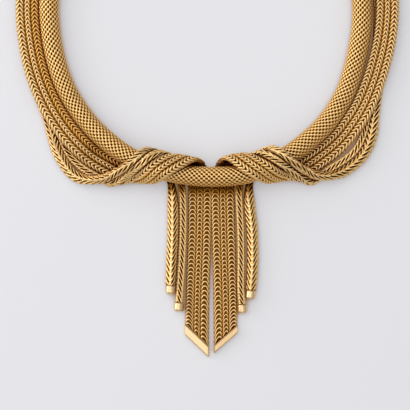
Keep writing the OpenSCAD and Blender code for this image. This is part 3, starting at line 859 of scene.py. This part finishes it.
# %% [markdown]
# The rope is a tube of fine wire mesh. From outside it shows plump leaves of metal that all
# lean the same way, and small dark holes between their tips, half a pitch further on in every
# other column. So many small shapes that touch are quicker as one skin: a fine grid round the
# tube is raised where a leaf is and sunk where a hole is, by one formula of two distances.

# %% Leaves and holes of the rope's skin
ROPE_PITCH = 2.06
ROPE_COLUMNS = 26
ROPE_WALL = 0.9
ROUND_STEPS = 5
ALONG_STEPS = 8
HOLE_LEAN, LEAF_LEAN = 0.12, 0.03
HOLE_LONG, HOLE_WIDE, HOLE_DEEP = 0.42, 0.27, 0.6
HOLE_RIM, HOLE_SLOPE = 1.4, 0.6
HOLE_SHADE, HOLE_SHADE_SLOPE = 1.75, 0.7
LEAF_LONG, LEAF_WIDE, LEAF_HIGH = 1.1, 0.62, 0.24
LEAF_CREST, FLAT_CREST = 0.38, 0.54


def oval_distance(s, a, shift, long, wide, lean):
    """Distance to the nearest of the points that repeat once a pitch along and once every two
    columns across, shifted by half of both, measured so that a leaning oval has the value 1:
    d = sqrt((ds / long)^2 + ((da - lean * ds) / wide)^2)."""
    width = 2 * np.pi * (ROPE_WIDE + ROPE_HIGH) / 4 / (ROPE_COLUMNS / 2)
    nearest = []
    for half in (0, 0.5):
        ds = ((s / ROPE_PITCH - half - shift + 0.5) % 1 - 0.5) * ROPE_PITCH
        da = ((a / width - half + 0.5) % 1 - 0.5) * width
        nearest.append(np.hypot(ds / long, (da - lean * ds) / wide))
    return np.minimum(*nearest)


def skin(s, a):
    """Height of the skin below the rope's outline and its crest value: a leaf bulges as
    1 - d^2 inside its oval, and a hole sinks steeply inside its own and is painted brown up to
    its rim, a painted shade."""
    leaf = np.clip(1 - oval_distance(s, a, 0.5, LEAF_LONG, LEAF_WIDE, LEAF_LEAN) ** 2, 0, 1)
    distance = oval_distance(s, a, 0, HOLE_LONG, HOLE_WIDE, HOLE_LEAN)
    hole = np.clip((HOLE_RIM - distance) / HOLE_SLOPE, 0, 1)
    # The hole is painted brown as shade.
    brown = np.clip((HOLE_SHADE - distance) / HOLE_SHADE_SLOPE, 0, 1)
    return (LEAF_HIGH * (leaf - 1) - HOLE_DEEP * hole,
            (FLAT_CREST + LEAF_CREST * leaf) * (1 - brown))


# %% Weave the rope in three lengths, each under the limit of one piece
INNER_STEP = 6
ROPE_CUTS = [0, 66, 132]


def weave_rope(number, start, stop):
    """An outer skin on the grid, a plain inner skin, and a rim at each end between them."""
    run = RUNS["mesh_rope"]
    count = ROPE_COLUMNS * ROUND_STEPS
    turn = 2 * np.pi * np.arange(count) / count
    outer_s = np.linspace(start, stop, round((stop - start) / ROPE_PITCH * ALONG_STEPS) + 1)
    inner_s = np.linspace(start, stop, round((stop - start) / INNER_STEP) + 1)
    height, crest = skin(outer_s[:, None], turn[None, :] * (ROPE_WIDE + ROPE_HIGH) / 4)
    layers = []
    for s, depth in ((outer_s, height), (inner_s, -ROPE_WALL - HOLE_DEEP / 2)):
        depth = depth + np.zeros((len(s), count))
        layers.append(run.lay(s[:, None] + 0 * depth, (ROPE_WIDE / 2 + depth) * np.sin(turn),
                              (ROPE_HIGH / 2 + depth) * np.cos(turn)).reshape(-1, 3))
    k = np.arange(count)
    n = (k + 1) % count
    faces = []
    for s, offset, order in ((outer_s, 0, 1), (inner_s, len(layers[0]), -1)):
        base = offset + count * np.arange(len(s) - 1)[:, None]
        faces += [np.stack([base + k, base + n, base + count + n], axis=-1)[..., ::order],
                  np.stack([base + k, base + count + n, base + count + k], axis=-1)[..., ::order]]
    near, far = 0, count * (len(outer_s) - 1)
    back, back_far = len(layers[0]), len(layers[0]) + count * (len(inner_s) - 1)
    faces += [np.stack([near + k, back + k, near + n], axis=-1),
              np.stack([near + n, back + k, back + n], axis=-1),
              np.stack([far + k, far + n, back_far + k], axis=-1),
              np.stack([far + n, back_far + n, back_far + k], axis=-1)]
    faces = np.vstack([part.reshape(-1, 3) for part in faces])
    crest = np.concatenate([crest.ravel(), np.zeros(len(layers[1]))])
    name = "mesh_rope_weave_%d" % number
    return mesh_piece(name, np.vstack(layers), faces, crest, WOVEN, "mesh_rope")


rope_cuts = np.append(ROPE_PITCH * np.array(ROPE_CUTS), RUNS["mesh_rope"].length)
for number in range(len(ROPE_CUTS)):
    weave_rope(number + 1, rope_cuts[number], rope_cuts[number + 1])

# %% [markdown]
# The caps, the bars and the clasp are solid polished gold. Their solids already have the right
# shape, so they stay and only take the polished material. The right bar lies a little on its
# edge, turned away from the light, so it has a darker and rougher gold of its own: the darker
# colour is painted shade.

# %% Polished pieces
for name in ("cap_left_outer", "cap_left_inner", "cap_right_inner", "cap_right_outer",
             "bar_left", "bar_right", "clasp"):
    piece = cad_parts[name]
    piece.data.materials.clear()
    # The right bar's darker gold is painted shade.
    piece.data.materials.append(SHADED_BAR if name == "bar_right" else POLISHED)

# %% [markdown]
# The necklace was lit by one large soft light from the upper left, over a pale surface. A big
# area light gives the soft shadow to the lower right, and a weaker one overhead and one low on
# the left light the flanks of the chains. The surface has a painted glow of its own, which keeps
# the shadow as faint as on a lit table, and in the gaps between chains it is painted brown, for
# the shade and the warm light that the gold throws there.
# The world is a pale ceiling that darkens towards the horizon, so wires that face sideways
# mirror less light than those on top.

# %% Floor
FLOOR_HALF = 3
PALE = (0.555, 0.555, 0.578, 1)
PALE_ROUGH = 0.7
PALE_GLOW = 0.43
FLOOR_REACH = 5 * MM
FLOOR_SHELTERED = (0.62, 0.36, 0.15, 1)

corners = [(FLOOR_HALF * x, FLOOR_HALF * y, 0) for x, y in ((-1, -1), (1, -1), (1, 1), (-1, 1))]
floor_mesh = bpy.data.meshes.new("floor")
floor_mesh.from_pydata(corners, [], [(0, 1, 2, 3)])
floor = bpy.data.objects.new("floor", floor_mesh)
bpy.context.collection.objects.link(floor)
paper = bpy.data.materials.new("pale_surface")
paper.use_nodes = True
paper_shader = paper.node_tree.nodes["Principled BSDF"]
paper_shader.inputs["Roughness"].default_value = PALE_ROUGH
pale = paper.node_tree.nodes.new("ShaderNodeRGB")
pale.outputs["Color"].default_value = PALE
# Painted shade and warm reflection of the gold in the gaps between chains.
gap = sheltered(paper.node_tree, FLOOR_REACH, FLOOR_SHELTERED)
tinted = times(paper.node_tree, pale, gap)
paper.node_tree.links.new(tinted, paper_shader.inputs["Base Color"])
# Painted glow of the surface, which keeps the shadow faint.
paper.node_tree.links.new(tinted, paper_shader.inputs["Emission Color"])
paper_shader.inputs["Emission Strength"].default_value = PALE_GLOW
floor_mesh.materials.append(paper)


# %% Lights: place in metres, side in metres, power in watts
NECKLACE_MIDDLE = (0, -0.04, 0)
LIGHTS = [
    ["key_light", (-0.55, 0.45, 0.8), 1.4, 5.0],
    ["top_light", (0.0, 0.0, 1.3), 0.6, 1.0],
    ["side_light", (-1.0, 0.15, 0.25), 0.7, 4]]


def area_light(name, place, size, power):
    """A square area light at a place, turned to face the middle of the necklace."""
    light = bpy.data.lights.new(name, "AREA")
    light.size = size
    light.energy = power
    lamp = bpy.data.objects.new(name, light)
    bpy.context.collection.objects.link(lamp)
    lamp.location = place
    direction = np.array(NECKLACE_MIDDLE) - np.array(place)
    flat = math.hypot(direction[0], direction[1])
    lamp.rotation_euler = (math.atan2(flat, -direction[2]), 0,
                           math.atan2(direction[1], direction[0]) - math.pi / 2)


for name, place, size, power in LIGHTS:
    area_light(name, place, size, power)

# %% Ceiling: brightness from the horizon to straight up
HORIZON, OVERHEAD = 0.32, 0.78
world = bpy.data.worlds.new("studio")
world.use_nodes = True
studio = world.node_tree
backdrop = studio.nodes["Background"]
backdrop.inputs["Color"].default_value = (1, 1, 1, 1)
direction = studio.nodes.new("ShaderNodeTexCoord")
axes = studio.nodes.new("ShaderNodeSeparateXYZ")
brightness = studio.nodes.new("ShaderNodeMapRange")
brightness.inputs["To Min"].default_value = HORIZON
brightness.inputs["To Max"].default_value = OVERHEAD
studio.links.new(direction.outputs["Generated"], axes.inputs["Vector"])
studio.links.new(axes.outputs["Z"], brightness.inputs["Value"])
studio.links.new(brightness.outputs["Result"], backdrop.inputs["Strength"])
bpy.context.scene.world = world
bpy.context.scene.view_settings.view_transform = "Standard"

# %% [markdown]
# The picture was taken from straight above. One pixel shows 0.42 mm, and the picture's middle
# lies a little left of and below the necklace's own middle. A long lens from far away keeps
# the raised parts from leaning outwards.

# %% Camera
PICTURE = 410
PIXEL = 0.42 * MM
ZERO_COLUMN, ZERO_ROW = 206.8, 90
FAR = 0.9
SENSOR = 36
CENTRE_X = (PICTURE / 2 - ZERO_COLUMN) * PIXEL
CENTRE_Y = (ZERO_ROW - PICTURE / 2) * PIXEL
camera_data = bpy.data.cameras.new("camera")
camera_data.sensor_width = SENSOR
camera_data.lens = SENSOR * FAR / (PICTURE * PIXEL)
camera = bpy.data.objects.new("camera", camera_data)
bpy.context.collection.objects.link(camera)
camera.location = (CENTRE_X, CENTRE_Y, FAR)
bpy.context.scene.camera = camera
print("lens", round(camera_data.lens, 1))
